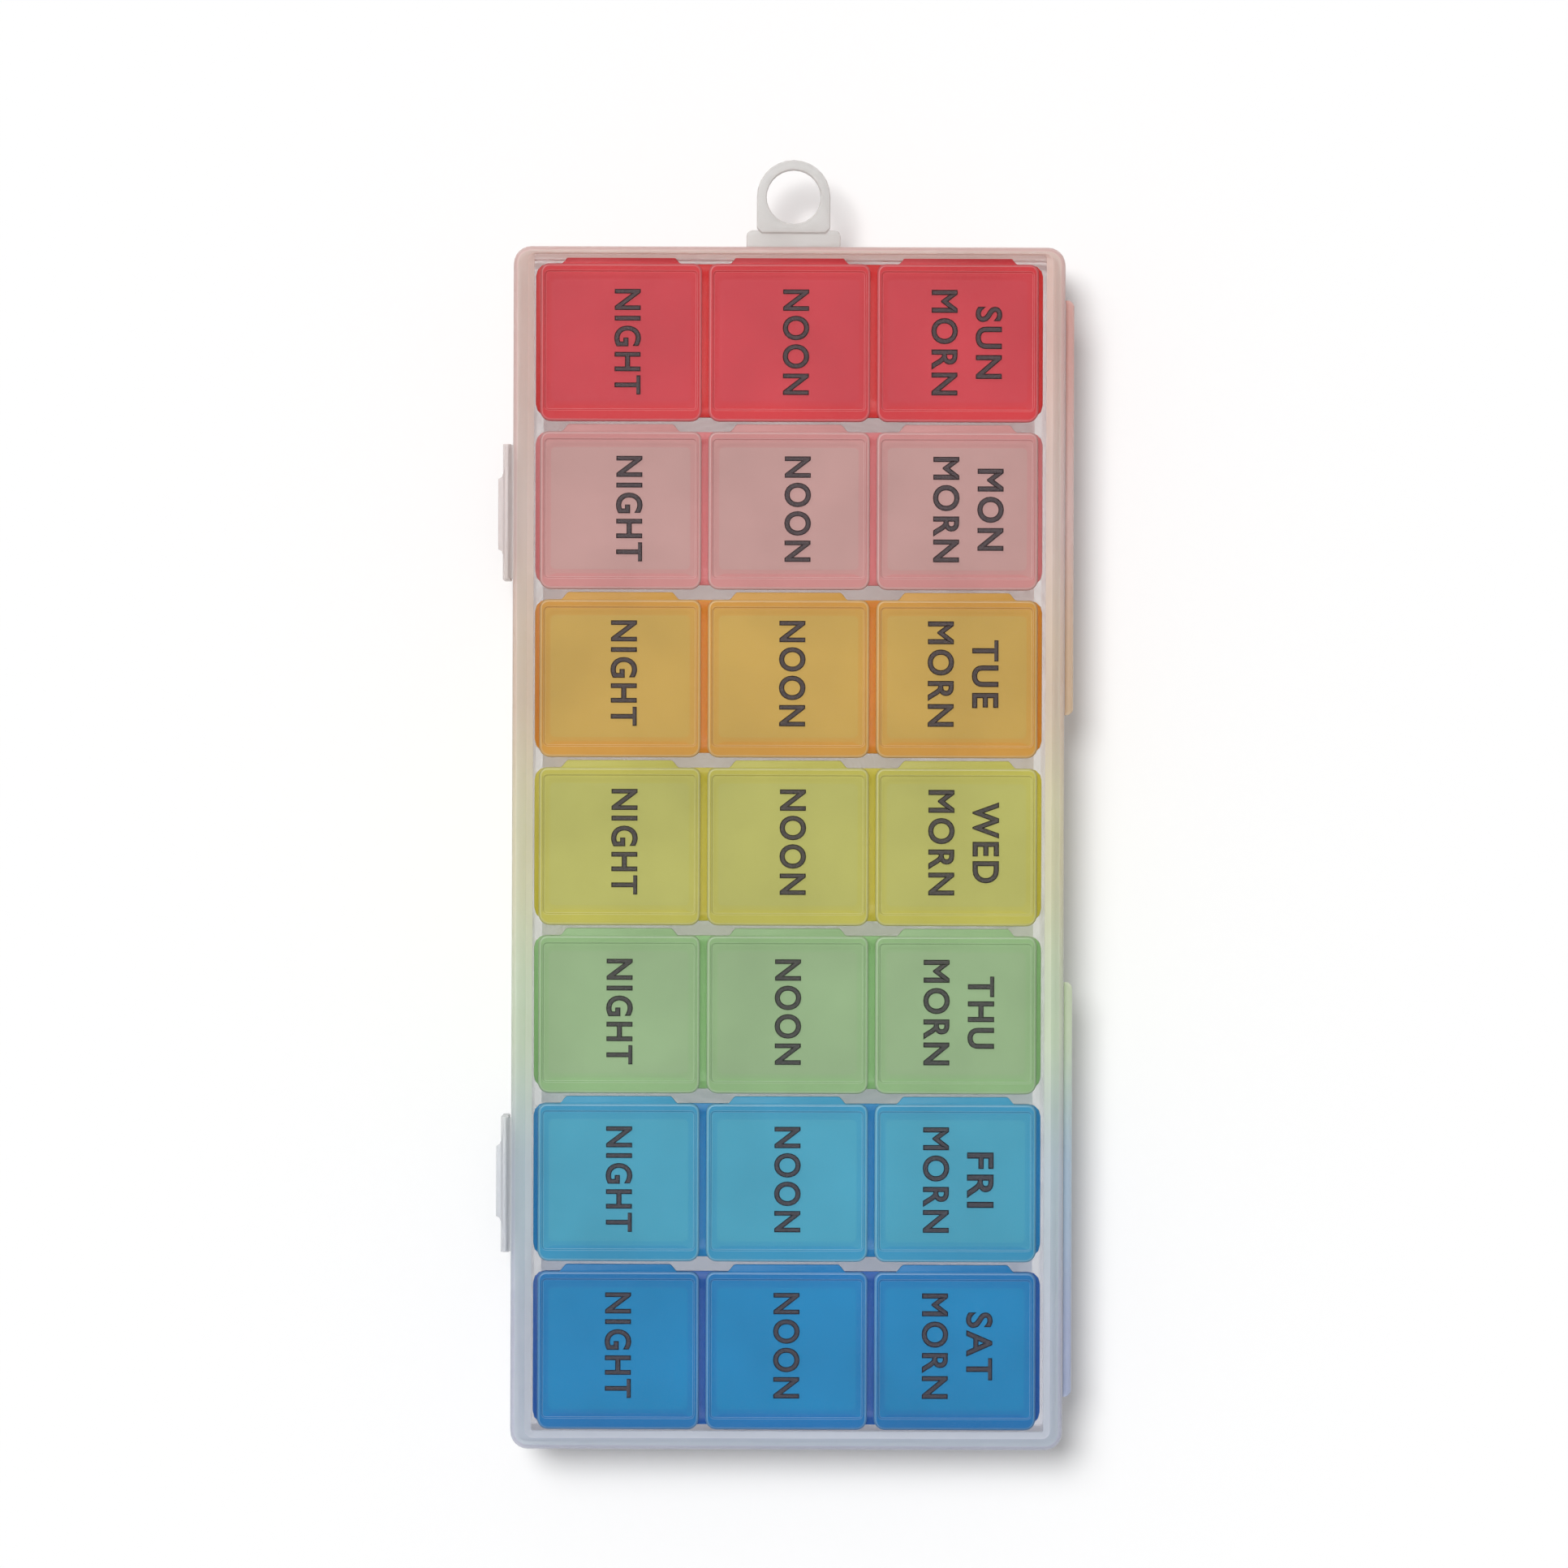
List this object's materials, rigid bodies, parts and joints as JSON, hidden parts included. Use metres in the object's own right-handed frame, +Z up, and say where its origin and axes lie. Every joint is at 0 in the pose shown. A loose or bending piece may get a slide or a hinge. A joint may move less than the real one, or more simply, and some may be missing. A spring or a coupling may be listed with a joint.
{
  "type": "weekly pill box",
  "caption": "Flat frosted case with a hinged lid, latches and a hanging loop, over coloured lift-out strips of small cups, each cup with its own hinged lid and thumb tab.",
  "frame": {"origin": "middle of the tray's flat underside", "axes": "+Z up through the closed lid, +Y along the week to the hanging loop, +X across the case to its film hinge, with the latches on -X"},
  "size_m": [0.1063, 0.2377, 0.0267],
  "materials": {
    "frosted_case": "natural polypropylene, frosted and see-through, with a fine satin grain",
    "tint_sun": "tinted see-through polypropylene, satin, the colour of Sunday's strip",
    "tint_mon": "tinted see-through polypropylene, satin, the colour of Monday's strip",
    "tint_tue": "tinted see-through polypropylene, satin, the colour of Tuesday's strip",
    "tint_wed": "tinted see-through polypropylene, satin, the colour of Wednesday's strip",
    "tint_thu": "tinted see-through polypropylene, satin, the colour of Thursday's strip",
    "tint_fri": "tinted see-through polypropylene, satin, the colour of Friday's strip",
    "tint_sat": "tinted see-through polypropylene, satin, the colour of Saturday's strip"
  },
  "bodies": {
    "tray_body": {"case_tray": "frosted_case", "hang_loop": "frosted_case", "case_hinge_web_upper": "frosted_case", "case_hinge_web_lower": "frosted_case"},
    "case_lid_body": {"case_lid": "frosted_case"},
    "latch_upper_body": {"latch_upper": "frosted_case"},
    "latch_lower_body": {"latch_lower": "frosted_case"},
    "strip_sun_body": {"strip_sun": "tint_sun"},
    "lid_sun_night_body": {"lid_sun_night": "tint_sun"},
    "lid_sun_noon_body": {"lid_sun_noon": "tint_sun"},
    "lid_sun_morn_body": {"lid_sun_morn": "tint_sun"},
    "strip_mon_body": {"strip_mon": "tint_mon"},
    "lid_mon_night_body": {"lid_mon_night": "tint_mon"},
    "lid_mon_noon_body": {"lid_mon_noon": "tint_mon"},
    "lid_mon_morn_body": {"lid_mon_morn": "tint_mon"},
    "strip_tue_body": {"strip_tue": "tint_tue"},
    "lid_tue_night_body": {"lid_tue_night": "tint_tue"},
    "lid_tue_noon_body": {"lid_tue_noon": "tint_tue"},
    "lid_tue_morn_body": {"lid_tue_morn": "tint_tue"},
    "strip_wed_body": {"strip_wed": "tint_wed"},
    "lid_wed_night_body": {"lid_wed_night": "tint_wed"},
    "lid_wed_noon_body": {"lid_wed_noon": "tint_wed"},
    "lid_wed_morn_body": {"lid_wed_morn": "tint_wed"},
    "strip_thu_body": {"strip_thu": "tint_thu"},
    "lid_thu_night_body": {"lid_thu_night": "tint_thu"},
    "lid_thu_noon_body": {"lid_thu_noon": "tint_thu"},
    "lid_thu_morn_body": {"lid_thu_morn": "tint_thu"},
    "strip_fri_body": {"strip_fri": "tint_fri"},
    "lid_fri_night_body": {"lid_fri_night": "tint_fri"},
    "lid_fri_noon_body": {"lid_fri_noon": "tint_fri"},
    "lid_fri_morn_body": {"lid_fri_morn": "tint_fri"},
    "strip_sat_body": {"strip_sat": "tint_sat"},
    "lid_sat_night_body": {"lid_sat_night": "tint_sat"},
    "lid_sat_noon_body": {"lid_sat_noon": "tint_sat"},
    "lid_sat_morn_body": {"lid_sat_morn": "tint_sat"}
  },
  "joints": [
    {"name": "case_lid_hinge", "type": "hinge", "parent": "tray_body", "child": "case_lid_body", "pos_m": [0.05175, 0, 0.0175], "axis": [0, 1, 0], "range_deg": [0, 180]},
    {"name": "latch_upper_hinge", "type": "hinge", "parent": "case_lid_body", "child": "latch_upper_body", "pos_m": [-0.05125, 0.0618, 0.0193], "axis": [0, 1, 0], "range_deg": [0, 90]},
    {"name": "latch_lower_hinge", "type": "hinge", "parent": "case_lid_body", "child": "latch_lower_body", "pos_m": [-0.05125, -0.0622, 0.0193], "axis": [0, 1, 0], "range_deg": [0, 90]},
    {"name": "strip_sun_lift", "type": "slide", "parent": "tray_body", "child": "strip_sun_body", "axis": [0, 0, 1], "range_m": [0, 0.02]},
    {"name": "lid_sun_night_hinge", "type": "hinge", "parent": "strip_sun_body", "child": "lid_sun_night_body", "pos_m": [-0.03095, 0.07897, 0.02185], "axis": [1, 0, 0], "range_deg": [0, 100]},
    {"name": "lid_sun_noon_hinge", "type": "hinge", "parent": "strip_sun_body", "child": "lid_sun_noon_body", "pos_m": [0, 0.07897, 0.02185], "axis": [1, 0, 0], "range_deg": [0, 100]},
    {"name": "lid_sun_morn_hinge", "type": "hinge", "parent": "strip_sun_body", "child": "lid_sun_morn_body", "pos_m": [0.03095, 0.07897, 0.02185], "axis": [1, 0, 0], "range_deg": [0, 100]},
    {"name": "strip_mon_lift", "type": "slide", "parent": "tray_body", "child": "strip_mon_body", "axis": [0, 0, 1], "range_m": [0, 0.02]},
    {"name": "lid_mon_night_hinge", "type": "hinge", "parent": "strip_mon_body", "child": "lid_mon_night_body", "pos_m": [-0.03095, 0.04809, 0.02185], "axis": [1, 0, 0], "range_deg": [0, 100]},
    {"name": "lid_mon_noon_hinge", "type": "hinge", "parent": "strip_mon_body", "child": "lid_mon_noon_body", "pos_m": [0, 0.04809, 0.02185], "axis": [1, 0, 0], "range_deg": [0, 100]},
    {"name": "lid_mon_morn_hinge", "type": "hinge", "parent": "strip_mon_body", "child": "lid_mon_morn_body", "pos_m": [0.03095, 0.04809, 0.02185], "axis": [1, 0, 0], "range_deg": [0, 100]},
    {"name": "strip_tue_lift", "type": "slide", "parent": "tray_body", "child": "strip_tue_body", "axis": [0, 0, 1], "range_m": [0, 0.02]},
    {"name": "lid_tue_night_hinge", "type": "hinge", "parent": "strip_tue_body", "child": "lid_tue_night_body", "pos_m": [-0.03095, 0.01721, 0.02185], "axis": [1, 0, 0], "range_deg": [0, 100]},
    {"name": "lid_tue_noon_hinge", "type": "hinge", "parent": "strip_tue_body", "child": "lid_tue_noon_body", "pos_m": [0, 0.01721, 0.02185], "axis": [1, 0, 0], "range_deg": [0, 100]},
    {"name": "lid_tue_morn_hinge", "type": "hinge", "parent": "strip_tue_body", "child": "lid_tue_morn_body", "pos_m": [0.03095, 0.01721, 0.02185], "axis": [1, 0, 0], "range_deg": [0, 100]},
    {"name": "strip_wed_lift", "type": "slide", "parent": "tray_body", "child": "strip_wed_body", "axis": [0, 0, 1], "range_m": [0, 0.02]},
    {"name": "lid_wed_night_hinge", "type": "hinge", "parent": "strip_wed_body", "child": "lid_wed_night_body", "pos_m": [-0.03095, -0.01367, 0.02185], "axis": [1, 0, 0], "range_deg": [0, 100]},
    {"name": "lid_wed_noon_hinge", "type": "hinge", "parent": "strip_wed_body", "child": "lid_wed_noon_body", "pos_m": [0, -0.01367, 0.02185], "axis": [1, 0, 0], "range_deg": [0, 100]},
    {"name": "lid_wed_morn_hinge", "type": "hinge", "parent": "strip_wed_body", "child": "lid_wed_morn_body", "pos_m": [0.03095, -0.01367, 0.02185], "axis": [1, 0, 0], "range_deg": [0, 100]},
    {"name": "strip_thu_lift", "type": "slide", "parent": "tray_body", "child": "strip_thu_body", "axis": [0, 0, 1], "range_m": [0, 0.02]},
    {"name": "lid_thu_night_hinge", "type": "hinge", "parent": "strip_thu_body", "child": "lid_thu_night_body", "pos_m": [-0.03095, -0.04455, 0.02185], "axis": [1, 0, 0], "range_deg": [0, 100]},
    {"name": "lid_thu_noon_hinge", "type": "hinge", "parent": "strip_thu_body", "child": "lid_thu_noon_body", "pos_m": [0, -0.04455, 0.02185], "axis": [1, 0, 0], "range_deg": [0, 100]},
    {"name": "lid_thu_morn_hinge", "type": "hinge", "parent": "strip_thu_body", "child": "lid_thu_morn_body", "pos_m": [0.03095, -0.04455, 0.02185], "axis": [1, 0, 0], "range_deg": [0, 100]},
    {"name": "strip_fri_lift", "type": "slide", "parent": "tray_body", "child": "strip_fri_body", "axis": [0, 0, 1], "range_m": [0, 0.02]},
    {"name": "lid_fri_night_hinge", "type": "hinge", "parent": "strip_fri_body", "child": "lid_fri_night_body", "pos_m": [-0.03095, -0.07543, 0.02185], "axis": [1, 0, 0], "range_deg": [0, 100]},
    {"name": "lid_fri_noon_hinge", "type": "hinge", "parent": "strip_fri_body", "child": "lid_fri_noon_body", "pos_m": [0, -0.07543, 0.02185], "axis": [1, 0, 0], "range_deg": [0, 100]},
    {"name": "lid_fri_morn_hinge", "type": "hinge", "parent": "strip_fri_body", "child": "lid_fri_morn_body", "pos_m": [0.03095, -0.07543, 0.02185], "axis": [1, 0, 0], "range_deg": [0, 100]},
    {"name": "strip_sat_lift", "type": "slide", "parent": "tray_body", "child": "strip_sat_body", "axis": [0, 0, 1], "range_m": [0, 0.02]},
    {"name": "lid_sat_night_hinge", "type": "hinge", "parent": "strip_sat_body", "child": "lid_sat_night_body", "pos_m": [-0.03095, -0.10631, 0.02185], "axis": [1, 0, 0], "range_deg": [0, 100]},
    {"name": "lid_sat_noon_hinge", "type": "hinge", "parent": "strip_sat_body", "child": "lid_sat_noon_body", "pos_m": [0, -0.10631, 0.02185], "axis": [1, 0, 0], "range_deg": [0, 100]},
    {"name": "lid_sat_morn_hinge", "type": "hinge", "parent": "strip_sat_body", "child": "lid_sat_morn_body", "pos_m": [0.03095, -0.10631, 0.02185], "axis": [1, 0, 0], "range_deg": [0, 100]}
  ],
  "couplings": [
    {"joint": "strip_sun_lift", "follows": "case_lid_hinge", "m_per_rad": 0.0035},
    {"joint": "lid_sun_night_hinge", "follows": "case_lid_hinge", "ratio": 0.55},
    {"joint": "lid_sun_noon_hinge", "follows": "case_lid_hinge", "ratio": 0.55},
    {"joint": "lid_sun_morn_hinge", "follows": "case_lid_hinge", "ratio": 0.22},
    {"joint": "strip_mon_lift", "follows": "case_lid_hinge", "m_per_rad": 0.0035},
    {"joint": "lid_mon_night_hinge", "follows": "case_lid_hinge", "ratio": 0.55},
    {"joint": "lid_mon_noon_hinge", "follows": "case_lid_hinge", "ratio": 0.55},
    {"joint": "lid_mon_morn_hinge", "follows": "case_lid_hinge", "ratio": 0.22},
    {"joint": "strip_tue_lift", "follows": "case_lid_hinge", "m_per_rad": 0.0035},
    {"joint": "lid_tue_night_hinge", "follows": "case_lid_hinge", "ratio": 0.55},
    {"joint": "lid_tue_noon_hinge", "follows": "case_lid_hinge", "ratio": 0.55},
    {"joint": "lid_tue_morn_hinge", "follows": "case_lid_hinge", "ratio": 0.22},
    {"joint": "strip_wed_lift", "follows": "case_lid_hinge", "m_per_rad": 0.0035},
    {"joint": "lid_wed_night_hinge", "follows": "case_lid_hinge", "ratio": 0.55},
    {"joint": "lid_wed_noon_hinge", "follows": "case_lid_hinge", "ratio": 0.55},
    {"joint": "lid_wed_morn_hinge", "follows": "case_lid_hinge", "ratio": 0.22},
    {"joint": "strip_thu_lift", "follows": "case_lid_hinge", "m_per_rad": 0.0035},
    {"joint": "lid_thu_night_hinge", "follows": "case_lid_hinge", "ratio": 0.55},
    {"joint": "lid_thu_noon_hinge", "follows": "case_lid_hinge", "ratio": 0.55},
    {"joint": "lid_thu_morn_hinge", "follows": "case_lid_hinge", "ratio": 0.22},
    {"joint": "strip_fri_lift", "follows": "case_lid_hinge", "m_per_rad": 0.0035},
    {"joint": "lid_fri_night_hinge", "follows": "case_lid_hinge", "ratio": 0.55},
    {"joint": "lid_fri_noon_hinge", "follows": "case_lid_hinge", "ratio": 0.55},
    {"joint": "lid_fri_morn_hinge", "follows": "case_lid_hinge", "ratio": 0.22},
    {"joint": "strip_sat_lift", "follows": "case_lid_hinge", "m_per_rad": 0.0035},
    {"joint": "lid_sat_night_hinge", "follows": "case_lid_hinge", "ratio": 0.55},
    {"joint": "lid_sat_noon_hinge", "follows": "case_lid_hinge", "ratio": 0.55},
    {"joint": "lid_sat_morn_hinge", "follows": "case_lid_hinge", "ratio": 0.22}
  ]
}
